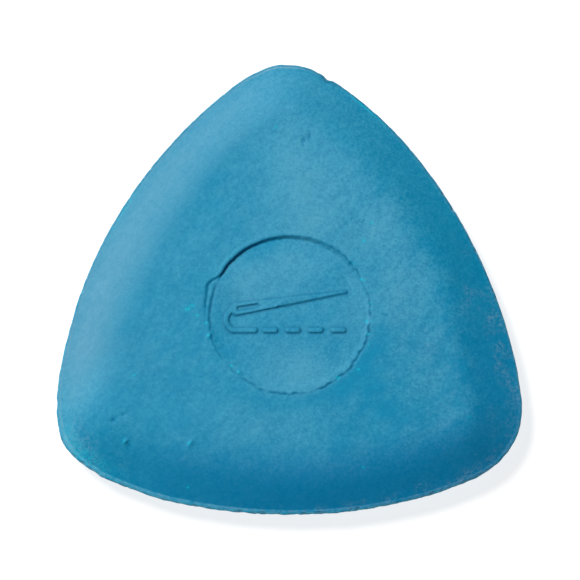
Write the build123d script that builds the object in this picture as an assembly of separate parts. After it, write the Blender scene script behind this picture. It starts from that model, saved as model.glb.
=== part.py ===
"""A triangular tailor's chalk: one pressed tablet with bowed sides and rounded corners.

The tablet is pressed in a single stroke between two dies, so it is one solid with nothing
inside it. Each face is a flat plateau. A bevel runs down from the plateau to a narrow flat
land, and a thin upright band joins the two lands. The thin rim draws the line on cloth.

Both faces have a shallow round panel, left by the plug in the die. The upper plug sat a
little askew, so its panel is deeper on one side. That panel holds a raised mark, a sewing
needle whose thread runs on into a row of stitches.

The origin is the centre of the lower plateau, on which the tablet rests. +Z goes up
through the marked face, and +Y points to one of the three corners.
"""

import os
from math import atan2, cos, degrees, radians, sin, sqrt, tan

from build123d import *

# Driving dimensions, in millimetres and degrees.
tablet_width = 50.0  # along one side, over two corners
thickness = 5.7  # over both plateaus
side_radius = 51.0  # bow of each side, seen from above
corner_radius = 8.4
land_width = 0.45  # flat step between the band and the bevel
band_round = 0.2  # rounding of both edges of the band
bevel_angle = 27.5
bevel_straight = 3.2  # straight part of the bevel, measured across
bevel_blend = 3.2  # rounded part that runs on into the plateau, measured across

panel_diameter = 17.0
panel_deep_end = 0.45
panel_shallow_end = 0.1
panel_deep_towards = 125.0  # direction of the upper panel's deep end, from +X
lower_panel_depth = 0.25

mark_relief = 0.16  # height of the mark over the floor of its panel
mark_line = 0.5  # width of the thread and of the stitches
needle_length = 12.4
needle_width = 1.3  # across the eye
needle_tip_width = 0.2
needle_slope = 9.0
needle_centre = (0.1, 1.3)
eye_length = 2.4
eye_width = 0.5
thread_turn = (-6.5, -0.75)  # where the thread turns back under the needle
stitch_row = -1.85  # height of the row of stitches in the panel
stitch_length = 1.55
stitch_pitch = 2.4
stitch_count = 4
first_stitch = -1.85  # middle of the first loose stitch

# The outline has three equal corners with three equal bowed sides between them.
corner_directions = (90, 210, 330)
corner_distance = (tablet_width / 2 - corner_radius) / cos(radians(30))
corner_spacing = 2 * corner_distance * sin(radians(60))
side_centre_distance = (
    sqrt((side_radius - corner_radius) ** 2 - (corner_spacing / 2) ** 2) - corner_distance / 2
)
side_distance = side_radius - side_centre_distance
corner_half_turn = degrees(
    atan2(
        side_centre_distance * cos(radians(30)),
        corner_distance + side_centre_distance * sin(radians(30)),
    )
)

# The bevel and its rounded part give the height of each plateau over its land.
plateau_inset = land_width + bevel_straight + bevel_blend
bevel_climb = bevel_straight * tan(radians(bevel_angle))
blend_climb = bevel_blend * tan(radians(bevel_angle / 2))
blend_radius = bevel_blend / sin(radians(bevel_angle))
face_rise = bevel_climb + blend_climb

panel_depth = (panel_deep_end + panel_shallow_end) / 2
panel_tilt = degrees(atan2(panel_deep_end - panel_shallow_end, panel_diameter))


def polar(distance, direction):
    """Point at a distance from the centre, in a direction counted from +X."""
    return Vector(distance * cos(radians(direction)), distance * sin(radians(direction)))


def corner_point(direction, turn, inset):
    """Point on a corner's arc, turned away from the corner's own direction."""
    return polar(corner_distance, direction) + polar(corner_radius - inset, direction + turn)


def outline(inset=0.0):
    """The tablet's outline, set in by the same distance all round."""
    arcs = []
    for direction in corner_directions:
        corner_start = corner_point(direction, -corner_half_turn, inset)
        corner_tip = corner_point(direction, 0, inset)
        corner_end = corner_point(direction, corner_half_turn, inset)
        side_middle = polar(side_distance - inset, direction + 60)
        side_end = corner_point(direction + 120, -corner_half_turn, inset)
        arcs.append(ThreePointArc(corner_start, corner_tip, corner_end))
        arcs.append(ThreePointArc(corner_end, side_middle, side_end))
    return Wire(arcs)


def upper_half_section():
    """Upper half of the rim's section, with X inwards from the band and Y up.

    The half stands on the middle of the band, so its mirror image is the lower half.
    """
    land_height = thickness / 2 - face_rise
    blend_start = land_width + bevel_straight
    half_angle = radians(bevel_angle / 2)
    blend_middle = (
        plateau_inset - blend_radius * sin(half_angle),
        thickness / 2 - blend_radius * (1 - cos(half_angle)),
    )
    band_and_bevel = Polyline(
        (plateau_inset, 0),
        (0, 0),
        (0, land_height),
        (land_width, land_height),
        (blend_start, land_height + bevel_climb),
    )
    blend = ThreePointArc(
        band_and_bevel @ 1,
        blend_middle,
        (plateau_inset, thickness / 2),
    )
    inner_side = Line(blend @ 1, band_and_bevel @ 0)
    section = make_face([*band_and_bevel.edges(), blend, inner_side])
    band_edge = section.vertices().sort_by_distance((0, land_height))[0]
    return fillet(band_edge, band_round)


def blank():
    """The tablet without its panels: a rim swept round the outline, filled by a core."""
    path = outline()
    upward = Vector(0, 0, 1)
    inward = upward.cross(path % 0)
    section_plane = Plane(
        origin=path @ 0 + upward * (thickness / 2),
        x_dir=inward,
        z_dir=inward.cross(upward),
    )
    upper_half = upper_half_section()
    section = upper_half + mirror(upper_half, about=Plane.XZ)
    rim = sweep(section_plane * section, path=path)
    core = extrude(make_face(outline(plateau_inset)), thickness)
    return rim + core


def needle():
    """The needle, with its eye at the left, lying along X with its middle at the origin."""
    round_centre = -(needle_length - needle_width) / 2
    tip = needle_length / 2
    shaft = Polygon(
        (round_centre, needle_width / 2),
        (round_centre, -needle_width / 2),
        (tip, -needle_tip_width / 2),
        (tip, needle_tip_width / 2),
        align=None,
    )
    head = Pos(round_centre, 0) * Circle(needle_width / 2)
    eye = Pos(round_centre + eye_length / 2, 0) * SlotOverall(eye_length, eye_width)
    return shaft + head - eye


def mark():
    """The raised mark: the needle, its thread and the row of stitches."""
    needle_place = Pos(*needle_centre) * Rot(Z=needle_slope)
    drawing = needle_place * needle()
    thread_end = needle_place * Pos((mark_line - needle_length) / 2, 0)
    thread_start = (thread_end.position.X, thread_end.position.Y)
    row_start = (thread_end.position.X, stitch_row)
    row_end = (first_stitch - stitch_pitch + stitch_length / 2, stitch_row)
    turn = ThreePointArc(thread_start, thread_turn, row_start)
    drawing += trace(turn + Line(row_start, row_end), mark_line)
    for index in range(stitch_count):
        middle = first_stitch + index * stitch_pitch
        drawing += Pos(middle, stitch_row) * SlotOverall(stitch_length, mark_line)
    return drawing


def chalk_tablet():
    """The whole tablet, with the marked panel above and the plain one below."""
    panel = Circle(panel_diameter / 2)
    upper_floor = (
        Pos(0, 0, thickness - panel_depth)
        * Rot(Z=panel_deep_towards)
        * Rot(Y=panel_tilt)
        * Rot(Z=-panel_deep_towards)
    )
    tablet = blank()
    tablet -= extrude(upper_floor * panel, panel_deep_end)
    tablet -= extrude(panel, lower_panel_depth)
    tablet += extrude(upper_floor * mark(), mark_relief)
    return tablet


tablet = chalk_tablet()
tablet.label = "chalk_tablet"
print(f"{tablet.label}: {tablet.volume:.0f} cubic millimetres, size {tablet.bounding_box().size}")

os.makedirs("parts", exist_ok=True)
export_step(tablet, "parts/chalk_tablet.step")
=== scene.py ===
import bpy
import numpy as np
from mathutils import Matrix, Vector


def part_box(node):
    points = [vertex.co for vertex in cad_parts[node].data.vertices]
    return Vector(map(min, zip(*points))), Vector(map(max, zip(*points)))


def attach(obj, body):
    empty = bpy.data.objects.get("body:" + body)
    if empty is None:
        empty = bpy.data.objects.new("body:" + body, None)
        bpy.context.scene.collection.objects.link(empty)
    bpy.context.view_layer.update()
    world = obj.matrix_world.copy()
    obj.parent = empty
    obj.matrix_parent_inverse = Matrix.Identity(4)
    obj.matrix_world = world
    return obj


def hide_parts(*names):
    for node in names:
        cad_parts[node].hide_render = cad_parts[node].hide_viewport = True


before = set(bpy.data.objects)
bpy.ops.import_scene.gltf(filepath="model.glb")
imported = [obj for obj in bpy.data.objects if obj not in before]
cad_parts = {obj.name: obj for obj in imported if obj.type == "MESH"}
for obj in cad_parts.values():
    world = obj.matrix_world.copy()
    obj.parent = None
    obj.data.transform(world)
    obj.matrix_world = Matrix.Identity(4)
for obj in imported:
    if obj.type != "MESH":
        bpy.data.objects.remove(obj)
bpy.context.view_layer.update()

# A triangular tailor's chalk, with its marked face up. Lengths are in millimetres until they
# reach a mesh, a light or the camera. Directions are in degrees, anticlockwise from +X.
MM = 0.001
node_low, node_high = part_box("chalk_tablet")

# The tablet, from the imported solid: its outline, and the section through its rim.
width = (node_high.x - node_low.x) / MM
thickness = (node_high.z - node_low.z) / MM
side_radius = 1.02 * width
corner_radius = 0.168 * width
corner_distance = (width / 2 - corner_radius) / np.cos(np.radians(30))
corner_directions = (90, 210, 330)
side_directions = (30, 150, 270)
side_centre_distance = (
    np.sqrt((side_radius - corner_radius) ** 2 - (corner_distance * np.sin(np.radians(60))) ** 2)
    - corner_distance / 2
)
corner_half_turn = np.arctan2(
    side_centre_distance * np.cos(np.radians(30)),
    corner_distance + side_centre_distance * np.sin(np.radians(30)),
)
face_rise = 0.43 * thickness
skin = 0.07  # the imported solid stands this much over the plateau, so that no grain leaves it
rim_low = skin + face_rise  # the two edges of the upright rim
rim_high = thickness - skin - face_rise
rim_round = 0.2
inner_inset = 6.9  # from here inwards, the mesh's rings turn from the rim's shape into circles
lower_section = (0.4, 3.2, 3.2)  # land, straight bevel and rounded part of the lower face
# The upper bevel, by direction from the axis: how far in from the rim its straight part ends, and
# the width of the rounded part above it.
upper_sections = (
    (-85, 1.0, 6.8),
    (-50, 1.5, 6.3),
    (-35, 2.3, 4.4),
    (-26, 4.1, 3.3),
    (-10, 4.7, 2.5),
    (13, 3.2, 4.0),
    (28, 2.4, 5.0),
    (90, 3.0, 3.5),
    (129, 2.3, 4.6),
    (217, 2.2, 6.2),
)
highest_grain = thickness - 0.01
deepest_grain = 0.04  # under the lower plateau, on which the tablet rests

# The round panel, and the mark in it.
panel_radius = 0.17 * width
panel_depth = 0.27
panel_slant = 0.17  # how much deeper and shallower its two ends are
panel_deep_towards = 125
panel_middle = (0.2, -0.2)  # the upper die's panel stands a little off the axis
lip_height = 0.03  # along the deep end's edge
ledge_depth = 0.09
crack_depth = 0.08
lower_panel_depth = 0.25
mark_relief = 0.16
mark_line = 0.5
needle_length = 12.4
needle_width = 1.3
needle_tip_width = 0.2
needle_slope = 9
needle_centre = (0.1, 1.3)
eye_length = 2.4
eye_width = 0.5
thread_turn = (-6.5, -0.75)
stitch_row = -1.85
stitch_length = 1.55
stitch_pitch = 2.4
stitch_count = 4
first_stitch = -1.85

# Wear and flaws. Places are on the upper face, from the axis.
flaw_direction = 55  # the long ones lie this way
# Each pit and each raised crumb: place, size, how much longer than wide, and depth or height.
pits = (
    ((2.3, 19.05), 0.19, 1.7, 0.12),
    ((1.72, 18.65), 0.19, 1.7, 0.13),
    ((-3.43, 19.12), 0.13, 1.0, 0.05),
    ((-17.3, -10.85), 0.15, 1.0, 0.12),
    ((-18.4, -11.5), 0.21, 1.0, 0.16),
    ((-16.85, -13.85), 0.13, 2.0, 0.12),
    ((10.38, -0.35), 0.16, 1.0, 0.07),
    ((-6.2, -8.5), 0.13, 1.0, 0.04),
    ((-3.34, 10.47), 0.12, 4.0, 0.03),
    ((-6.69, 11.95), 0.12, 1.0, 0.04),
    ((13.34, -9.48), 0.13, 1.3, 0.05),
    ((14.92, -12.84), 0.2, 1.6, 0.05),
    ((6.83, 10.08), 0.12, 1.0, 0.05),
    ((7.52, 10.42), 0.12, 1.0, 0.05),
    ((8.11, 9.98), 0.13, 1.3, 0.04),
    ((6.34, 9.48), 0.12, 1.0, 0.04),
    ((-12.12, 6.52), 0.12, 1.2, 0.03),
)
crumbs = (
    ((-10.24, -13.93), 0.17, 2.4, 0.16),
    ((-17.12, -13.78), 0.13, 2.2, 0.14),
    ((-5.1, -6.4), 0.18, 1.0, 0.08),
    ((-8.35, -2.5), 0.16, 1.3, 0.08),
)
# Each bright crumb of purer pigment: place and size.
pigment_crumbs = (
    ((-10.59, 0.4), 0.26),
    ((-10.1, 0.74), 0.22),
    ((-9.6, -0.3), 0.15),
    ((-8.67, -1.09), 0.15),
    ((8.06, 7.76), 0.2),
    ((7.42, -6.13), 0.17),
    ((-1.21, 20.11), 0.14),
    ((-10.54, -18.52), 0.15),
    ((-16.27, -6.67), 0.13),
    ((-17.2, -13.72), 0.11),
    ((-10.34, -13.93), 0.15),
    ((-5.2, -6.4), 0.17),
    ((-5.95, -5.7), 0.14),
    ((-8.4, -2.45), 0.15),
    ((8.9, 9.63), 0.15),
    ((8.31, -0.89), 0.2),
    ((8.51, -2.27), 0.16),
    ((7.82, 3.56), 0.16),
    ((5.25, -6.92), 0.2),
    ((19.07, -11.16), 0.14),
    ((7.92, -16.4), 0.13),
)
# Each patch of pale powder: place, size, direction, how much longer than wide, and amount. Powder
# is missing where the amount is under 0.
powder_patches = (
    ((1.5, 14.33), 4.2, 100, 1.7, 0.44),
    ((-0.97, 5.14), 3.8, 20, 1.5, 0.26),
    ((8.9, 0.59), 3.0, 100, 1.4, 0.3),
    ((1.01, -6.52), 3.2, 0, 1.4, 0.34),
    ((-4.92, 2.96), 2.4, 0, 1.0, 0.2),
    ((-3.93, -12.15), 3.2, 10, 2.4, 0.12),
    ((9.4, 8.89), 3.6, 120, 1.4, 0.26),
    ((-12.32, -0.99), 3.4, 75, 1.5, 0.05),
    ((13.34, 0.0), 2.6, 95, 2.2, 0.2),
    ((9.89, -9.88), 4.0, 30, 1.6, -0.08),
    ((-11.82, -9.88), 3.0, 30, 1.3, -0.07),
    ((-19.33, -15.02), 1.6, -38, 2.2, 0.08),
)
usual_wear = 0.16  # how far the rim is rubbed in
# Where the rim is worn more, or less, than that: direction of the rim, spread in degrees, and
# depth.
rim_dents = (
    (0, 9, 0.06),
    (22, 10, 0.1),
    (44, 7, -0.14),
    (57, 4, 0.2),
    (65, 13, 0.13),
    (72, 4, -0.06),
    (90, 6, 0.11),
    (115, 8, 0.07),
    (166, 7, 0.14),
    (177, 5, 0.2),
    (188, 16, 0.36),
    (-128, 15, 0.28),
    (-118, 5, 0.1),
    (-106, 3, -0.08),
    (-92, 7, 0.07),
)
# Each chip in the rim's upper edge: direction of the rim, and size.
rim_chips = ((58, 0.5), (-91, 0.3), (-88, 0.35), (-152, 0.4))
bite_sizes = (0.18, 0.5)  # smallest and largest of the bites that are placed at random
upper_share = 0.65  # how many of them are in the rim's upper edge

# What lies on the chalk, and its painted light and shade, as columns of the mesh's points after x,
# y and z.
coat_names = ("powder_and_sheen", "dust", "crumb_and_highlight", "dark", "shade_tone")


# ---------------------------------------------------------------- shape of the outline


def along(direction, distance=1.0):
    """Point at a distance from the axis, in a direction."""
    return distance * np.cos(np.radians(direction)), distance * np.sin(np.radians(direction))


def outline_radius(direction, inset):
    """Distance from the axis to the outline set in by inset. The direction is in radians."""
    third = 2 * np.pi / 3
    turn = np.abs((direction - np.pi / 2 + third / 2) % third - third / 2)
    small = corner_radius - inset
    large = side_radius - inset
    corner = np.sqrt(np.maximum(small**2 - (corner_distance * np.sin(turn)) ** 2, 0))
    corner = corner + corner_distance * np.cos(turn)
    from_middle = third / 2 - turn
    side = np.sqrt(large**2 - (side_centre_distance * np.sin(from_middle)) ** 2)
    side = side - side_centre_distance * np.cos(from_middle)
    join = np.arctan2(
        small * np.sin(corner_half_turn), corner_distance + small * np.cos(corner_half_turn)
    )
    return np.where(turn < join, corner, side)


def rim_distance(x, y):
    """Distance in from the rim at each point, and the direction in which the rim faces there."""
    inset = np.full_like(x, np.inf)
    facing = np.zeros_like(x)
    for direction in side_directions:
        centre_x, centre_y = along(direction, -side_centre_distance)
        here = side_radius - np.hypot(x - centre_x, y - centre_y)
        nearer = here < inset
        inset = np.where(nearer, here, inset)
        facing = np.where(nearer, np.degrees(np.arctan2(y - centre_y, x - centre_x)), facing)
    for direction in corner_directions:
        centre_x, centre_y = along(direction, corner_distance)
        outward = np.degrees(np.arctan2(y - centre_y, x - centre_x))
        turn = (outward - direction + 180) % 360 - 180
        inside = np.abs(turn) < np.degrees(corner_half_turn)
        inset = np.where(inside, corner_radius - np.hypot(x - centre_x, y - centre_y), inset)
        facing = np.where(inside, outward, facing)
    return inset, facing


# ---------------------------------------------------------------- small tools


def smooth(value):
    """Smooth step from 0 to 1."""
    value = np.clip(value, 0, 1)
    return value * value * (3 - 2 * value)


def by_direction(turn, *rows, column=1):
    """A value that changes with direction, from rows of a direction and the values there."""
    directions = [row[0] for row in rows]
    values = [row[column] for row in rows]
    return np.interp(turn, directions, values, period=360)


def from_axis(x, y):
    """Direction of a point from the axis that x and y are measured from, in degrees."""
    return np.degrees(np.arctan2(y, x))


def noise(x, y, size, seed, stretch=1.0):
    """Smooth random values from -1 to 1, with features about size across.

    A stretch over 1 draws the features out from south-west to north-east.
    """
    table = np.random.default_rng(seed).uniform(-1, 1, (256, 256))
    u = (x + y) / np.sqrt(2) / size / stretch
    v = (y - x) / np.sqrt(2) / size
    column, row = np.floor(u).astype(int), np.floor(v).astype(int)
    across, up = smooth(u - column), smooth(v - row)
    left, right = column % 256, (column + 1) % 256
    below, above = row % 256, (row + 1) % 256
    near = table[left, below] * (1 - across) + table[right, below] * across
    far = table[left, above] * (1 - across) + table[right, above] * across
    return near * (1 - up) + far * up


def bump(x, y, place, size, direction=0.0, stretch=1.0):
    """A round hill of height 1 at a place, or a long one that lies in a direction."""
    turn = np.radians(direction)
    east, north = x - place[0], y - place[1]
    lengthways = (east * np.cos(turn) + north * np.sin(turn)) / stretch
    sideways = north * np.cos(turn) - east * np.sin(turn)
    return np.exp(-(lengthways**2 + sideways**2) / size**2)


def facing_bump(facing, direction, spread):
    """A hill of height 1 round one direction, with a spread in degrees."""
    turn = (facing - direction + 180) % 360 - 180
    return np.exp(-((turn / spread) ** 2))


# ---------------------------------------------------------------- the mark


def segment_distance(x, y, start, end, start_half, end_half):
    """Distance from a straight stroke, whose half width changes evenly along it."""
    run_x, run_y = end[0] - start[0], end[1] - start[1]
    part = ((x - start[0]) * run_x + (y - start[1]) * run_y) / (run_x**2 + run_y**2)
    part = np.clip(part, 0, 1)
    gap = np.hypot(x - start[0] - part * run_x, y - start[1] - part * run_y)
    return gap - (start_half + part * (end_half - start_half))


def arc_distance(x, y, start, middle, end, half):
    """Distance from a stroke along the arc through three points."""
    points = np.array([start, middle, end], float)
    rows = 2 * (points[1:] - points[0])
    centre = np.linalg.solve(rows, (points[1:] ** 2 - points[0] ** 2).sum(1))
    radius = np.hypot(*(points[0] - centre))
    middle_turn = np.arctan2(*(points[1] - centre)[::-1])
    turn = np.arctan2(y - centre[1], x - centre[0]) - middle_turn
    turn = (turn + np.pi) % (2 * np.pi) - np.pi
    reach = np.arctan2(*(points[0] - centre)[::-1]) - middle_turn
    reach = abs((reach + np.pi) % (2 * np.pi) - np.pi)
    on_arc = np.abs(np.hypot(x - centre[0], y - centre[1]) - radius)
    ends = np.minimum(np.hypot(x - start[0], y - start[1]), np.hypot(x - end[0], y - end[1]))
    return np.where(np.abs(turn) < reach, on_arc, ends) - half


def on_needle(distance):
    """Point on the needle's middle line, at a distance from its middle towards the tip."""
    reach_x, reach_y = along(needle_slope, distance)
    return needle_centre[0] + reach_x, needle_centre[1] + reach_y


def mark_distance(x, y):
    """Distance from the mark's edge: under 0 on the needle, the thread and the stitches."""
    half = mark_line / 2
    head_place = -(needle_length - needle_width) / 2
    head = on_needle(head_place)
    tip = on_needle((needle_length - needle_tip_width) / 2)
    shaft = segment_distance(x, y, head, tip, needle_width / 2, needle_tip_width / 2)
    eye_start = on_needle(head_place + eye_width / 2)
    eye_end = on_needle(head_place + eye_length - eye_width / 2)
    eye = segment_distance(x, y, eye_start, eye_end, eye_width / 2, eye_width / 2)
    strokes = np.maximum(shaft, -eye)
    thread_start = on_needle(-needle_length / 2 + half)
    row_start = (thread_start[0], stitch_row)
    row_end = (first_stitch - stitch_pitch + stitch_length / 2, stitch_row)
    strokes = np.minimum(strokes, arc_distance(x, y, thread_start, thread_turn, row_start, half))
    strokes = np.minimum(strokes, segment_distance(x, y, row_start, row_end, half, half))
    reach = (stitch_length - mark_line) / 2
    for index in range(stitch_count):
        middle = first_stitch + index * stitch_pitch
        start, end = (middle - reach, stitch_row), (middle + reach, stitch_row)
        strokes = np.minimum(strokes, segment_distance(x, y, start, end, half, half))
    return strokes


# ---------------------------------------------------------------- heights of the two faces


def bevel_height(inset, land, straight, blend):
    """Height over the rim's land: the land, a straight bevel, and a rounded part above it."""
    slope = face_rise / (straight + blend / 2)
    over = inset - land
    foot = 0.08  # the land turns up into the bevel over this width
    start = foot * np.logaddexp(0, over / foot)
    part = np.clip((over - straight) / blend, 0, 1)
    rounded = blend * (part - part**3 + part**4 / 2)
    return slope * np.where(over < straight, start, straight + rounded)


def land_width(turn):
    """Width of the flat land round the upper face, by direction from the axis."""
    return by_direction(
        turn,
        (-85, 0.34),
        (-50, 0.3),
        (84, 0.3),
        (90, 0.36),
        (100, 0.32),
        (160, 0.3),
        (195, 0.34),
        (203, 0.4),
        (207, 0.6),
        (212, 0.6),
        (216, 0.42),
        (234, 0.36),
    )


def upper_section(inset, turn):
    """Height of the upper bevel. The die wore unevenly, so the bevel differs round the rim."""
    straight = by_direction(turn, *upper_sections)
    blend = by_direction(turn, *upper_sections, column=2)
    land = land_width(turn)
    return bevel_height(inset, land, straight - land, blend)


def grain(x, y, seed):
    """The pressed powder's own unevenness: broad waves, lumps, and fine grain."""
    waves = 0.028 * noise(x, y, 5.5, seed) + 0.012 * noise(x, y, 1.9, seed + 1, 1.4)
    return waves + 0.009 * noise(x, y, 0.8, seed + 2, 1.6) + 0.006 * noise(x, y, 0.4, seed + 3, 1.3)


def panel_polar(x, y):
    """Distance from the middle of the upper panel, and direction from it."""
    x, y = x - panel_middle[0], y - panel_middle[1]
    return np.hypot(x, y), from_axis(x, y)


def panel_floor(radius, turn):
    """Depth of the upper panel's floor under the plateau. It is swollen towards -X."""
    slant = panel_slant * radius / panel_radius * np.cos(np.radians(turn - panel_deep_towards))
    turn = turn % 360
    swollen = smooth((turn - 145) / 11) * smooth((207 - turn) / 28) * smooth((radius - 5) / 3.5)
    return panel_depth + slant - 0.32 * swollen


def on_panel_edge(turn, size, seed):
    """Noise along the panel's edge, from -1 to 1."""
    x, y = along(turn, panel_radius)
    return noise(x, y, size, seed)


def panel_edge(turn):
    """Radius of the upper panel's edge, which is crumbly away from +Y and swollen towards -X."""
    swollen = 0.12 * facing_bump(turn, 200, 13) - 0.12 * facing_bump(turn, 168, 15)
    crumbly = 0.08 * on_panel_edge(turn, 1.1, 21) + 0.11 * on_panel_edge(turn, 0.4, 22)
    return panel_radius + swollen + crumbly * (1 - 0.85 * facing_bump(turn, 115, 55))


def ledge_edge(turn):
    """Radius of the sunken ledge outside the panel's edge, where the powder came off the die."""
    turn = turn % 360
    swell = 0.7 * smooth((turn - 149) / 11) - 0.16 * smooth((turn - 160) / 18)
    return panel_radius + swell + 0.08 * on_panel_edge(turn, 0.6, 25)


def crack(radius, turn):
    """The crack along the panel's edge, from 0 to 1, with the one round the ledge."""
    strength = by_direction(
        turn,
        (0, 0.6),
        (20, 1.0),
        (36, 0.7),
        (60, 0.4),
        (84, 0.15),
        (108, 0.1),
        (125, 0.35),
        (146, 0.6),
        (150, 0.2),
        (156, 0.15),
        (161, 0.9),
        (180, 1.15),
        (192, 1.0),
        (196, 1.4),
        (199, 0.35),
        (218, 0.35),
        (240, 0.5),
        (265, 0.6),
        (285, 0.5),
        (300, 0.8),
        (312, 1.2),
        (325, 0.8),
        (345, 1.0),
    )
    broken = 1.0 + 0.6 * on_panel_edge(turn, 0.8, 23) + 0.7 * on_panel_edge(turn, 0.35, 24)
    whole = facing_bump(turn, 140, 55)
    strength = strength * (whole + (1 - whole) * broken)
    half = 0.13 + 0.03 * whole
    line = strength * np.exp(-(((radius - panel_edge(turn)) / half) ** 2))
    turn = turn % 360
    outer = np.exp(-(((radius - ledge_edge(turn)) / 0.15) ** 2))
    outer = outer * (1.25 - 0.5 * smooth((turn - 155) / 12))
    outer = outer * smooth((turn - 146) / 4) * smooth((177 - turn) / 3)
    return np.clip(np.maximum(line, outer), 0, 1)


def floor_ridge(x, y):
    """A low ridge on the panel's floor, from +Y round towards +X."""
    ridge_height, ridge_radius = 0.06, 8.25
    east, north = x + 1.5, y - 0.5
    inside = smooth((ridge_radius - np.hypot(east, north)) / 0.3)
    return ridge_height * inside * facing_bump(from_axis(east, north), 37, 14)


def wall_width(turn):
    """Width of the upper panel's wall in plan: steep at the deep end, and a long slope opposite."""
    return by_direction(
        turn,
        (0, 0.5),
        (50, 0.6),
        (84, 0.5),
        (108, 0.4),
        (122, 0.21),
        (150, 0.18),
        (160, 0.4),
        (190, 0.5),
        (215, 2.0),
        (300, 1.6),
    )


def upper_height(x, y):
    """Height of the upper face: the bevel and plateau, the panel, the mark, and every flaw."""
    inset = rim_distance(x, y)[0]
    around = from_axis(x, y)
    height = rim_high + upper_section(inset, around)
    radius, turn = panel_polar(x, y)
    inside = smooth((panel_edge(turn) + 0.05 - radius) / wall_width(turn) + 0.1)
    height = height - inside * panel_floor(radius, turn)
    lip = np.exp(-(((radius - panel_edge(turn) - 0.3) / 0.14) ** 2)) * facing_bump(turn, 128, 30)
    height = height + lip_height * lip
    ledge = smooth((ledge_edge(turn) - radius) / 0.16) * (1 - inside) * facing_bump(turn, 164, 20)
    height = height - ledge_depth * ledge
    height = height - crack_depth * crack(radius, turn) * (1 - 0.7 * facing_bump(turn, 105, 40))
    height = height + floor_ridge(x, y)
    raised = smooth((0.07 - mark_distance(x, y)) / 0.14)
    height = height + raised * mark_relief
    for place, size, stretch, depth in pits:
        height = height - depth * bump(x, y, place, size, flaw_direction, stretch)
    for place, size, stretch, rise in crumbs:
        height = height + rise * bump(x, y, place, size, flaw_direction, stretch)
    rough = 0.03 * facing_bump(around, 218, 9) * smooth((3.4 - inset) / 2.2)
    rough = rough + 0.006 * smooth((x - y + 2) / 14)
    height = height + rough * noise(x, y, 0.5, 16, 1.5)
    return np.minimum(height + grain(x, y, 11), highest_grain)


def in_pits(x, y):
    """How far down a pit each point is, from 0 to 1, which a pit 0.1 deep reaches."""
    inside = 0 * x
    for place, size, stretch, depth in pits:
        inside = inside + 10 * depth * bump(x, y, place, 0.85 * size, flaw_direction, stretch)
    return np.minimum(inside, 1)


def bevel_powder_and_sheen(turn):
    """Powder and painted sheen on the upper bevel by direction, most towards -X and +Y, facing the
    light.
    """
    return by_direction(
        turn,
        (-85, 0.02),
        (28, 0.04),
        (56, 0.12),
        (82, 0.3),
        (90, 0.46),
        (98, 0.63),
        (106, 0.66),
        (129, 0.78),
        (150, 0.77),
        (171, 0.9),
        (190, 0.95),
        (202, 0.7),
        (208, 0.3),
        (213, 0.09),
        (228, 0.06),
    )


def upper_powder_and_sheen(x, y):
    """Pale powder on the upper face, from 0 to 2, in soft patches and on the worn rim, with painted
    sheen.
    """
    inset = rim_distance(x, y)[0]
    around = from_axis(x, y)
    powder_and_sheen = 0.19 + 0 * x
    for place, size, direction, stretch, amount in powder_patches:
        powder_and_sheen = powder_and_sheen + amount * bump(x, y, place, size, direction, stretch)
    radius, turn = panel_polar(x, y)
    under_wall = smooth((radius - 5.8) / 1.6) * smooth((panel_radius + 0.3 - radius) / 0.4)
    powder_and_sheen = powder_and_sheen - 0.25 * under_wall * facing_bump(turn, 105, 40)
    clean_ring = np.exp(-(((radius - panel_radius - 1.0) / 1.1) ** 2))
    clean_ring = clean_ring * smooth((radius - panel_radius) / 0.3)
    powder_and_sheen = powder_and_sheen - 0.3 * clean_ring * facing_bump(turn, -55, 65)
    scuffed = 1 + 1.2 * facing_bump(around, -8, 45) * smooth((radius - 8.5) / 3)
    powder_and_sheen = powder_and_sheen + scuffed * (0.06 * noise(x, y, 2.3, 45) + 0.06 * noise(x, y, 0.8, 46, 1.8))
    # on the bevel, powder with a painted sheen, strongest where the bevel faces the key light
    on_bevel = smooth((6.6 + 0.35 * noise(x, y, 3, 41) - inset) / 4.4)
    towards_rim = 1 - 0.2 * smooth((1.8 - inset) / 1.2)
    powder_and_sheen = powder_and_sheen + on_bevel * (bevel_powder_and_sheen(around) * towards_rim - powder_and_sheen)
    # no powder in the cracks and pits, which darkens their painted shade
    powder_and_sheen = powder_and_sheen * (1 - 0.85 * np.maximum(crack(radius, turn), in_pits(x, y)))
    mottled = 0.9 + 0.7 * noise(x, y, 0.35, 44) + 0.4 * noise(x, y, 1.2, 47)
    powder_and_sheen = powder_and_sheen + worn_edge_and_highlight(inset, around) * mottled
    return np.clip(powder_and_sheen, 0, 2)


def upper_dust(x, y):
    """Grey dust, from 0 to 1: towards +X, along the lower rim and at the lower left corner."""
    inset = rim_distance(x, y)[0]
    turn = from_axis(x, y)
    patches = smooth((noise(x, y, 1.7, 42, 1.3) + 0.7 * noise(x, y, 0.6, 43) + 0.8) / 1.5)
    grains = 0.4 + 0.6 * smooth((noise(x, y, 0.5, 49) + 0.4) / 0.8)
    reach = 3.4 + 1.4 * noise(x, y, 2.5, 48)
    dust = facing_bump(turn, -8, 22) * smooth((reach - inset) / 1.5)
    dust = dust + facing_bump(turn, -40, 16) * smooth((1.6 - inset) / 0.8)
    dust = dust + facing_bump(turn, -51, 7) * smooth((1.5 - inset) / 0.6)
    dust = dust + 0.8 * facing_bump(turn, 215, 8) * smooth((3.6 - inset) / 1.5)
    dust = dust + 0.6 * facing_bump(turn, -80, 30) * smooth((1.2 - inset) / 0.6)
    scuffs = facing_bump(turn, -14, 26) * smooth((inset - 5.2) / 1.5) * smooth((12 - inset) / 4)
    return patches * grains * np.clip(dust + 0.3 * scuffs, 0, 1)


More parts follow.
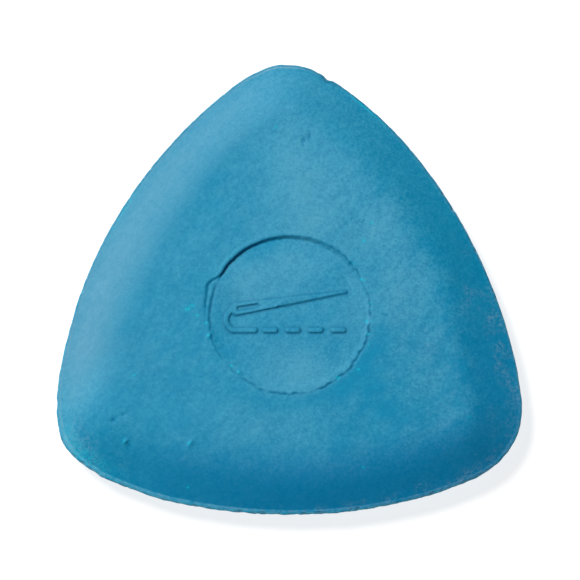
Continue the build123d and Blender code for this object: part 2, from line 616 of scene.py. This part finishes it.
def upper_shade_tone(x, y):
    """Painted shade and light in the pigment: 1 deepens it as shade, -1 dulls the bevel facing the
    light.
    """
    inset = rim_distance(x, y)[0]
    shade_tone = by_direction(
        from_axis(x, y),
        (-85, 1.0),
        (-38, 1.0),
        (-20, 0.6),
        (28, -0.2),
        (56, -0.3),
        (84, -0.15),
        (93, -0.5),
        (104, -0.9),
        (129, -1.0),
        (190, -1.0),
        (202, -0.2),
        (206, 0.0),
        (217, 0.0),
        (234, 0.6),
    )
    # pits take the deepest pigment, as painted shade
    return np.maximum(shade_tone * smooth((8.0 - inset) / 4.5), 2 * in_pits(x, y) - 1)


def worn_edge_and_highlight(inset, turn):
    """Pale land, from 0 to 1, by direction: rubbed bare, and a painted highlight on its crest."""
    amount = by_direction(
        turn,
        (-85, 0.9),
        (-50, 0.6),
        (-20, 0.15),
        (28, 0.15),
        (82, 0.3),
        (88, 0.7),
        (98, 0.7),
        (104, 0.3),
        (150, 0.1),
        (195, 0.2),
        (203, 0.4),
        (207, 0.9),
        (212, 0.9),
        (216, 0.6),
        (234, 0.7),
    )
    land = land_width(turn)
    crest = smooth((inset - 0.14) / 0.14) * smooth((land + 0.14 - inset) / 0.14)
    mottled = facing_bump(turn, 211, 6) * smooth((2.2 - inset) / 1.5)
    return amount * np.maximum(crest, 0.45 * mottled)


def upper_crumbs_and_highlights(x, y):
    """Bright turquoise, from 0 to 1: crumbs of purer pigment, single and in strips, and painted
    highlights.
    """
    amount = 0 * x
    for place, size in pigment_crumbs:
        amount = amount + bump(x, y, place, size)
    radius, turn = panel_polar(x, y)
    on_edge = np.exp(-(((radius - panel_edge(turn) - 0.2) / 0.25) ** 2)) * facing_bump(turn, 0, 50)
    specks = 0.6 * smooth((noise(x, y, 0.3, 51) - 0.2) / 0.3)
    # painted highlight just outside the panel's edge, on the side towards the key light
    beside = np.exp(-(((radius - panel_radius - 0.42) / 0.17) ** 2)) * facing_bump(turn, 138, 15)
    inset = rim_distance(x, y)[0]
    around = from_axis(x, y)
    on_corner = facing_bump(around, 215, 8.5) * smooth((2.3 - inset) / 1.4)
    # painted highlights along the land towards -Y and along the rim's crest
    on_land = 0.45 * facing_bump(around, -115, 45) * worn_edge_and_highlight(inset, around)
    lines = 0.75 * facing_bump(around, 70, 6) + 0.5 * facing_bump(around, 147, 11)
    lines = lines * np.exp(-(((inset - 0.28) / 0.16) ** 2))
    amount = amount + on_edge * specks + 0.4 * on_corner + 0.3 * beside + on_land + lines
    return np.clip(amount, 0, 1)


def edge_shade(turn):
    """How dark the rim's own edge is painted as shade, by direction from the axis."""
    return by_direction(
        turn,
        (-150, 0.1),
        (-30, 0.3),
        (0, 0.5),
        (60, 0.6),
        (84, 0.55),
        (100, 0.3),
        (122, 0.55),
        (150, 0.4),
        (175, 0.25),
    )


def upper_dark(x, y):
    """Painted shade, from 0 to 1: in the cracks, with their dark chalk, in pits, by the mark and on
    the rim.
    """
    radius, turn = panel_polar(x, y)
    dark = crack(radius, turn) + 0.4 * in_pits(x, y)
    gap = mark_distance(x, y)
    shaded = (mark_distance(x + 0.05, y - 0.05) - mark_distance(x - 0.05, y + 0.05)) / 0.14
    # painted shade along the mark's edges, darker on the side away from the key light
    creases = (0.64 + 0.16 * shaded) * np.exp(-(((gap - 0.09) / 0.13) ** 2))
    inset = rim_distance(x, y)[0]
    around = from_axis(x, y)
    # painted shade on the rim's rounded edge
    outermost = edge_shade(around) * smooth((0.36 - inset) / 0.16)
    # painted shade of a small nick in the rim
    nick = 0.85 * facing_bump(around, 80.5, 1.8) * smooth((0.7 - inset) / 0.4)
    return np.clip(dark + creases + outermost + nick, 0, 1)


def lower_height(x, y):
    """Height of the lower face. Its grain is cut off where the tablet rests."""
    inset = rim_distance(x, y)[0]
    height = rim_low - bevel_height(inset, *lower_section)
    inside = smooth((panel_radius + 0.04 - np.hypot(x, y)) / 0.12)
    return height + inside * lower_panel_depth + np.maximum(grain(x, y, 71), -deepest_grain)


def lower_powder(x, y):
    """Pale powder on the lower face, rubbed on by the table, and on its rim."""
    inset = rim_distance(x, y)[0]
    rubbed = smooth((inset - 5.5) / 1.5) * smooth((np.hypot(x, y) - panel_radius) / 0.4)
    clouds = 0.5 + 0.4 * noise(x, y, 3.1, 81, 1.5) + 0.25 * noise(x, y, 1.1, 82)
    return np.clip(0.25 + rubbed * clouds + 0.5 * np.exp(-(((inset - 0.5) / 0.3) ** 2)), 0, 1.4)


# ---------------------------------------------------------------- the mesh


def ring_plan(bevel_steps, segments, blend_rings, panel_steps):
    """Rings of one face, from the land to the middle: the kind, its value and its segments."""
    plan = []
    for outer, inner, step, count in bevel_steps:
        for inset in np.arange(outer, inner - step / 2, step):
            plan.append(("inset", inset, count))
    for index in range(blend_rings + 1):
        plan.append(("blend", index / blend_rings, segments))
    for outer, inner, step, count in panel_steps:
        for radius in np.arange(outer, inner + step / 2, -step):
            plan.append(("circle", radius, count))
    return plan


blend_end = panel_radius + 1.3
rim_segments = 1024
# Each row of rings: the first and last inset or radius, the step, and the segments of a ring.
upper_plan = ring_plan(
    bevel_steps=((rim_round, 0.75, 0.07, rim_segments), (0.75, inner_inset, 0.26, 640)),
    segments=640,
    blend_rings=22,
    panel_steps=(
        (blend_end - 0.1, panel_radius + 0.4, 0.1, 512),
        (panel_radius + 0.4, panel_radius - 0.4, 0.06, 512),
        (panel_radius - 0.4, 6.5, 0.1, 512),
        (6.5, 4.0, 0.1, 384),
        (4.0, 2.0, 0.1, 256),
        (2.0, 0.15, 0.1, 128),
    ),
)
lower_plan = ring_plan(
    bevel_steps=((rim_round, inner_inset, 0.45, 256),),
    segments=256,
    blend_rings=12,
    panel_steps=(
        (blend_end - 0.4, panel_radius + 0.1, 0.4, 256),
        (panel_radius + 0.1, panel_radius - 0.1, 0.05, 256),
        (panel_radius - 0.4, 4.0, 0.5, 256),
        (4.0, 0.5, 0.5, 128),
    ),
)


def rim_wear(facing):
    """How far the rim is rubbed in from the die's outline, least at the +Y corner."""
    wear = usual_wear - usual_wear * facing_bump(facing, 92, 15)
    wear = wear - 0.12 * facing_bump(facing, -72, 7)
    for direction, spread, depth in rim_dents:
        wear = wear + depth * facing_bump(facing, direction, spread)
    return np.maximum(wear, 0)


def worn(x, y, inset, facing, level=0.0):
    """Points of the outer rings moved in by the wear, which fades out up the bevel."""
    rough = 0.025 + 0.045 * facing_bump(from_axis(x, y), -95, 45)
    lumps = noise(x + level, y - level, 0.7, 93) + 0.5 * noise(x + level, y - level, 0.3, 94)
    shift = rim_wear(facing) * np.exp(-((inset / 4) ** 2))
    shift = np.maximum(shift - rough * lumps * np.exp(-((inset / 0.3) ** 2)), 0)
    turn = np.radians(facing)
    return x - shift * np.cos(turn), y - shift * np.sin(turn)


def ring_points(kind, value, count, middle):
    """The points of one ring in plan. The panel's rings are round its own middle."""
    direction = 2 * np.pi * np.arange(count) / count
    if kind == "inset":
        radius, part = outline_radius(direction, value), 0
    elif kind == "blend":
        radius = (1 - value) * outline_radius(direction, inner_inset) + value * blend_end
        part = value
    else:
        radius, part = np.full(count, float(value)), 1
    x = radius * np.cos(direction) + part * middle[0]
    y = radius * np.sin(direction) + part * middle[1]
    return x, y


def gathered(x, y):
    """The points drawn in round each small flaw of the upper face, where the mesh must be finer."""
    for place in [flaw[0] for flaw in pits + crumbs + pigment_crumbs]:
        pull = 0.45 + 0.55 * smooth(np.hypot(x - place[0], y - place[1]) / 0.9)
        x = place[0] + (x - place[0]) * pull
        y = place[1] + (y - place[1]) * pull
    return x, y


def face_rings(plan, middle, height, *coats):
    """One face as a list of rings. Each row is a point, and how much of each coat it has."""
    rings = []
    for kind, value, count in plan:
        x, y = gathered(*ring_points(kind, value, count, middle))
        inset, facing = rim_distance(x, y)
        worn_x, worn_y = worn(x, y, inset, facing)
        columns = [worn_x, worn_y, height(x, y), *(coat(x, y) for coat in coats)]
        rings.append(np.column_stack(columns))
    return rings


def rim_rings():
    """The upright rim with its two rounded edges, from the lower land to the upper one."""
    direction = 2 * np.pi * np.arange(rim_segments) / rim_segments
    steps = []
    for turn in np.radians([18, 36, 54, 72, 90]):
        inset, rise = rim_round * (1 - np.sin(turn)), rim_round * (1 - np.cos(turn))
        steps.append((inset, rim_low + rise))
    steps += [(0.0, (rim_low + rim_high) / 2)]
    steps += [(inset, rim_low + rim_high - level) for inset, level in reversed(steps[:-1])]
    rings = []
    for inset, level in steps:
        radius = outline_radius(direction, inset)
        x, y = radius * np.cos(direction), radius * np.sin(direction)
        facing = rim_distance(x, y)[1]
        x, y = worn(x, y, inset, facing, level)
        powder_and_sheen = 0.55 + 0.4 * noise(x + level, y - level, 0.8, 91)
        powder_and_sheen = np.clip(powder_and_sheen + 0.3 * noise(x, y + level, 0.3, 92), 0, 1)
        around = from_axis(x, y)
        # painted light on the rim towards -Y, as if from the floor below
        crumb_and_highlight = 0.4 * facing_bump(around, -100, 50)
        # painted shade on the rim's rounded edge
        dark = np.maximum(edge_shade(around) - 0.2, 0)
        dust = shade_tone = 0 * x
        rings.append(np.column_stack([x, y, level + 0 * x, powder_and_sheen, dust, crumb_and_highlight, dark, shade_tone]))
    return rings


def bitten(rings, seed, count):
    """The rings with count small bites at random out of the rim's edges, and with the chips."""
    random = np.random.default_rng(seed)
    for _ in range(count):
        direction = random.uniform(0, 2 * np.pi)
        size = random.uniform(*bite_sizes)
        level = rim_high if random.random() < upper_share else rim_low
        radius = outline_radius(direction, 0.0) - 0.1
        x, y = radius * np.cos(direction), radius * np.sin(direction)
        facing = rim_distance(np.array([x]), np.array([y]))[1]
        out_x, out_y = along(facing[0], size * random.uniform(0.45, 0.75) - rim_wear(facing)[0])
        up = size * 0.35 if level == rim_high else -size * 0.35
        take_bite(rings, np.array([x + out_x, y + out_y, level + up]), size)
    for direction, size in rim_chips:
        x, y = on_outline(direction)
        out_x, out_y = along(direction, size * 0.55 - rim_wear(np.array([float(direction)]))[0])
        take_bite(rings, np.array([x + out_x, y + out_y, rim_high]), size)
    return rings


def on_outline(facing):
    """Point of the outline where the rim faces in a direction."""
    for corner in corner_directions:
        turn = (facing - corner + 180) % 360 - 180
        if abs(turn) <= np.degrees(corner_half_turn):
            base_x, base_y = along(corner, corner_distance)
            out_x, out_y = along(facing, corner_radius)
            return base_x + out_x, base_y + out_y
    side = min(side_directions, key=lambda middle: abs((facing - middle + 180) % 360 - 180))
    base_x, base_y = along(side, -side_centre_distance)
    out_x, out_y = along(facing, side_radius)
    return base_x + out_x, base_y + out_y


def take_bite(rings, centre, size):
    """Push every point inside a ball out to its surface. The hollow it leaves is powdery."""
    for ring in rings:
        away = ring[:, :3] - centre
        gap = np.linalg.norm(away, axis=1)
        near = gap < size
        ring[near, :3] = centre + away[near] * (size / gap[near])[:, None]
        ring[near, 3 + coat_names.index("powder_and_sheen")] = 0.9


def stitched(outer_start, outer_count, inner_start, inner_count):
    """Triangles between two rings, which may have different numbers of points."""
    triangles = []
    outer = inner = 0
    while outer < outer_count or inner < inner_count:
        outer_point = outer_start + outer % outer_count
        inner_point = inner_start + inner % inner_count
        if (outer + 1) / outer_count <= (inner + 1) / inner_count:
            outer += 1
            corner = outer_start + outer % outer_count
        else:
            inner += 1
            corner = inner_start + inner % inner_count
        triangles.append((outer_point, corner, inner_point))
    return triangles


def closed_mesh(name, rings):
    """A closed mesh through rings that run from the lower middle, over the rim, to the upper."""
    rows = [rings[0].mean(0, keepdims=True), *rings, rings[-1].mean(0, keepdims=True)]
    counts = [len(ring) for ring in rows]
    starts = np.concatenate([[0], np.cumsum(counts)[:-1]])
    triangles = []
    for index in range(len(rows) - 1):
        triangles += stitched(starts[index], counts[index], starts[index + 1], counts[index + 1])
    rows = np.concatenate(rows)
    mesh = bpy.data.meshes.new(name)
    triangles = [corners for corners in triangles if len(set(corners)) == 3]
    mesh.from_pydata(rows[:, :3] * MM, [], triangles)
    mesh.polygons.foreach_set("use_smooth", np.ones(len(mesh.polygons), bool))
    for column, label in enumerate(coat_names, 3):
        attribute = mesh.attributes.new(label, "FLOAT", "POINT")
        attribute.data.foreach_set("value", rows[:, column].astype(np.float32))
    return mesh


def nowhere(x, y):
    """A coat that the face doesn't have."""
    return 0 * x


lower_coats = (lower_powder, nowhere, nowhere, nowhere, nowhere)
upper_coats = (upper_powder_and_sheen, upper_dust, upper_crumbs_and_highlights, upper_dark, upper_shade_tone)
lower_rings = face_rings(lower_plan, (0, 0), lower_height, *lower_coats)
upper_rings = face_rings(upper_plan, panel_middle, upper_height, *upper_coats)
lower_reach, upper_reach = 5, 12  # rings of each face that a bite may reach
outer_rings = lower_rings[:lower_reach][::-1] + rim_rings() + upper_rings[:upper_reach]
outer_rings = bitten(outer_rings, seed=5, count=60)
tablet_rings = lower_rings[lower_reach:][::-1] + outer_rings + upper_rings[upper_reach:]
tablet = bpy.data.objects.new("tailors_chalk", closed_mesh("tailors_chalk", tablet_rings))
bpy.context.scene.collection.objects.link(tablet)


# ---------------------------------------------------------------- material


class Shader:
    """A short way to add linked nodes to a material."""

    def __init__(self, name):
        self.material = bpy.data.materials.new(name)
        self.material.use_nodes = True
        self.tree = self.material.node_tree
        self.surface = self.tree.nodes["Principled BSDF"]

    def add(self, kind, inputs=None, **settings):
        node = self.tree.nodes.new(kind)
        for name, value in settings.items():
            setattr(node, name, value)
        for name, value in (inputs or {}).items():
            if isinstance(value, bpy.types.NodeSocket):
                self.tree.links.new(value, node.inputs[name])
            else:
                node.inputs[name].default_value = value
        return node

    def attribute(self, name):
        return self.add("ShaderNodeAttribute", attribute_name=name).outputs["Fac"]

    def math(self, operation, first, second, clamp=False):
        inputs = {0: first, 1: second}
        return self.add("ShaderNodeMath", inputs, operation=operation, use_clamp=clamp).outputs[0]

    def noise(self, vector, size, detail=2.0, roughness=0.5):
        """Noise from 0 to 1, with features about size millimetres across."""
        inputs = {"Vector": vector, "Scale": 1 / (size * MM)}
        inputs.update({"Detail": detail, "Roughness": roughness})
        return self.add("ShaderNodeTexNoise", inputs).outputs["Fac"]

    def spread(self, value, low, high, to_low=0.0, to_high=1.0):
        """The value, with its range from low to high spread over a new range and held inside it."""
        inputs = {"Value": value, "From Min": low, "From Max": high}
        inputs.update({"To Min": to_low, "To Max": to_high})
        return self.add("ShaderNodeMapRange", inputs).outputs["Result"]

    def mix(self, factor, first, second):
        node = self.add("ShaderNodeMix", data_type="RGBA")
        for socket, value in ((0, factor), (6, first), (7, second)):
            if isinstance(value, bpy.types.NodeSocket):
                self.tree.links.new(value, node.inputs[socket])
            else:
                node.inputs[socket].default_value = value
        return node.outputs[2]

    def surface_from(self, **values):
        names = {"color": "Base Color", "roughness": "Roughness", "normal": "Normal"}
        for name, value in values.items():
            self.tree.links.new(value, self.surface.inputs[names[name]])


low_pigment = (0.0, 0.223, 0.405, 1)
high_pigment = (0.0, 0.268, 0.442, 1)
# painted shade: the deeper pigment; painted light: the duller pigment of the bevel facing the light
shaded_pigment = (0.0, 0.208, 0.416, 1)
lit_side_pigment = (0.0, 0.222, 0.38, 1)
# pale powder, which also paints the sheen of the bevel facing the light
powder_and_sheen_color = (0.9, 0.93, 0.95, 1)
dust_color = (0.6, 0.62, 0.72, 1)
# dark chalk, and painted shade
dark_and_shade_color = (0.0, 0.1, 0.205, 1)
# turquoise crumbs, and painted highlights
crumb_and_highlight_color = (0.0, 0.42, 0.58, 1)


def unevenness(shader, place, blotches, specks, fine, roughened):
    """Broad clouds, blotches and small grain added up, on both sides of 0."""
    clouds = shader.spread(shader.noise(place, 4.5, 3.0), 0.3, 0.7, -0.15, 0.15)
    broad = shader.math("ADD", clouds, shader.spread(blotches, 0.3, 0.7, -0.3, 0.3))
    specks = shader.spread(specks, 0.3, 0.7, -0.4, 0.4)
    small = shader.math("ADD", specks, shader.spread(fine, 0.3, 0.7, -0.25, 0.25))
    return shader.math("ADD", broad, shader.math("MULTIPLY", small, roughened))


def pigment_powder_and_painted_light(shader, uneven):
    """Pigment with painted shade and light, under a broken film of pale powder and painted sheen.
    """
    powder_and_sheen = shader.attribute("powder_and_sheen")
    cover = shader.spread(powder_and_sheen, 0.0, 0.2, 0.05, 0.24)
    powder_and_sheen = shader.math("ADD", powder_and_sheen, shader.math("MULTIPLY", uneven, cover))
    powder_and_sheen = shader.math("MAXIMUM", powder_and_sheen, 0.0)
    paleness = shader.math("ADD", powder_and_sheen, shader.spread(uneven, -0.8, 0.8, -0.24, 0.24))
    shade_tone = shader.attribute("shade_tone")
    pigment = shader.mix(shader.spread(paleness, 0.0, 0.6), low_pigment, high_pigment)
    # painted shade deepens the pigment, and painted light dulls it on the lit bevel
    pigment = shader.mix(shader.spread(shade_tone, 0.0, 1.0), pigment, shaded_pigment)
    pigment = shader.mix(shader.spread(shade_tone, 0.0, -1.0), pigment, lit_side_pigment)
    # pale powder, and painted sheen on the lit bevel
    color = shader.mix(shader.math("MULTIPLY", powder_and_sheen, 0.1), pigment, powder_and_sheen_color)
    # painted shade of fine pits, at random specks
    return shader.mix(shader.spread(uneven, 0.4, -0.8, 0.0, 0.18), color, dark_and_shade_color)


def dusted(shader, color, place):
    """The colour with grains of grey dust, and bare dark chalk between them."""
    grains = shader.noise(place, 0.36, 3.0, 0.65)
    dusty = shader.attribute("dust")
    bare = shader.math("MULTIPLY", dusty, shader.spread(grains, 0.5, 0.35, 0.0, 0.2))
    color = shader.mix(bare, color, dark_and_shade_color)
    dust = shader.math("MULTIPLY", dusty, shader.spread(grains, 0.42, 0.68, 0.0, 0.17))
    return shader.mix(dust, color, dust_color)


def with_crumbs_and_highlights(shader, color, fine):
    """The colour with turquoise crumbs and painted highlights, which break up into loose grains
    where thin.
    """
    crumb_and_highlight = shader.attribute("crumb_and_highlight")
    loose = shader.math("MULTIPLY", crumb_and_highlight, shader.spread(fine, 0.42, 0.6, 0.0, 1.5))
    crumb_and_highlight = shader.math("MAXIMUM", loose, shader.spread(crumb_and_highlight, 0.5, 1.0), clamp=True)
    return shader.mix(shader.math("MULTIPLY", crumb_and_highlight, 0.85), color, crumb_and_highlight_color)


def grain_normal(shader, blotches, specks, fine, roughened):
    """Fine relief that is too small for the mesh."""
    height = shader.math("MULTIPLY", blotches, 0.35)
    height = shader.math("ADD", height, shader.math("MULTIPLY", specks, 0.2))
    height = shader.math("ADD", height, shader.math("MULTIPLY", fine, 0.08))
    height = shader.math("MULTIPLY", height, roughened)
    bumps = {"Height": height, "Strength": 0.8, "Distance": 0.05 * MM}
    return shader.add("ShaderNodeBump", bumps).outputs["Normal"]


def chalk_material():
    """Pressed blue chalk: cloudy pigment, pale powder, bright crumbs, fine grain, painted light and
    shade.
    """
    shader = Shader("pressed_chalk")
    place = shader.add("ShaderNodeTexCoord").outputs["Object"]
    drawn = {"Vector": place, "Rotation": (0, 0, np.radians(-45)), "Scale": (0.6, 1, 1)}
    drawn = shader.add("ShaderNodeMapping", drawn, vector_type="TEXTURE").outputs["Vector"]
    blotches = shader.noise(drawn, 0.9, 3.0, 0.6)
    specks = shader.noise(place, 0.32, 2.0)
    fine = shader.noise(place, 0.17, 1.0)
    eastwards = shader.add("ShaderNodeSeparateXYZ", {"Vector": place}).outputs["X"]
    roughened = shader.spread(eastwards, -14 * MM, 14 * MM, 0.65, 1.15)
    uneven = unevenness(shader, place, blotches, specks, fine, roughened)
    color = dusted(shader, pigment_powder_and_painted_light(shader, uneven), place)
    # painted shade in cracks, pits and creases and on the rim's edge, with the cracks' dark chalk
    color = shader.mix(shader.math("MULTIPLY", shader.attribute("dark"), 0.8), color, dark_and_shade_color)
    color = with_crumbs_and_highlights(shader, color, fine)
    normal = grain_normal(shader, blotches, specks, fine, roughened)
    roughness = shader.spread(uneven, -0.7, 0.7, 0.5, 0.64)
    shader.surface_from(color=color, roughness=roughness, normal=normal)
    shader.surface.inputs["Specular IOR Level"].default_value = 0.12
    return shader.material


tablet.data.materials.append(chalk_material())
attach(tablet, "root")
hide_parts("chalk_tablet")


# ---------------------------------------------------------------- floor, light and camera


def floor(size):
    """A square white floor. Its own glow keeps it white, and keeps the tablet's shadow pale."""
    mesh = bpy.data.meshes.new("floor")
    corners = [(-size, -size, 0), (size, -size, 0), (size, size, 0), (-size, size, 0)]
    mesh.from_pydata(corners, [], [(0, 1, 2, 3)])
    made = bpy.data.objects.new("floor", mesh)
    bpy.context.scene.collection.objects.link(made)
    material = bpy.data.materials.new("white_floor")
    material.use_nodes = True
    shader = material.node_tree.nodes["Principled BSDF"]
    shader.inputs["Base Color"].default_value = (0.35, 0.35, 0.35, 1)
    shader.inputs["Roughness"].default_value = 1.0
    shader.inputs["Specular IOR Level"].default_value = 0.0
    shader.inputs["Emission Color"].default_value = (1, 1, 1, 1)
    shader.inputs["Emission Strength"].default_value = 0.8
    mesh.materials.append(material)


def key_light(direction, elevation, distance, size, power):
    """A round lamp that faces the tablet. Its distance and size are in metres."""
    light = bpy.data.lights.new("key", "AREA")
    light.shape = "DISK"
    light.size = size
    light.energy = power
    light.color = (1.0, 0.975, 0.93)
    made = bpy.data.objects.new("key", light)
    level = np.radians(elevation)
    flat_x, flat_y = along(direction, distance * np.cos(level))
    made.location = (flat_x, flat_y, distance * np.sin(level))
    made.rotation_mode = "QUATERNION"
    made.rotation_quaternion = made.location.to_track_quat("Z", "Y")
    bpy.context.scene.collection.objects.link(made)


def sky(strength):
    """Faint bluish light from all round, which fills the shadows."""
    world = bpy.data.worlds.new("studio")
    world.use_nodes = True
    background = world.node_tree.nodes["Background"]
    background.inputs["Color"].default_value = (0.75, 0.9, 1.15, 1)
    background.inputs["Strength"].default_value = strength
    bpy.context.scene.world = world


def camera(elevation, lens, frame_width, target):
    """The camera, on the tablet's -Y side, at the distance where frame_width fills the picture."""
    sensor_width = 36
    made = bpy.data.objects.new("camera", bpy.data.cameras.new("camera"))
    made.data.lens = lens
    made.data.sensor_width = sensor_width
    distance = frame_width * lens / sensor_width
    level = np.radians(elevation)
    back = Vector((0, -np.cos(level), np.sin(level)))
    made.location = Vector(target) + back * distance
    made.rotation_mode = "QUATERNION"
    made.rotation_quaternion = back.to_track_quat("Z", "Y")
    made.data.clip_start = 0.01
    made.data.clip_end = 10
    bpy.context.scene.collection.objects.link(made)
    bpy.context.scene.camera = made


floor(size=1.5)
key_light(direction=137, elevation=56, distance=0.5, size=0.2, power=3.1)
sky(strength=0.12)
aim = (0.236 * MM, 2.95 * MM, thickness / 2 * MM)
camera(elevation=79.5, lens=300, frame_width=61.65 * MM, target=aim)
scene = bpy.context.scene
scene.view_settings.view_transform = "Standard"
scene.view_settings.look = "None"
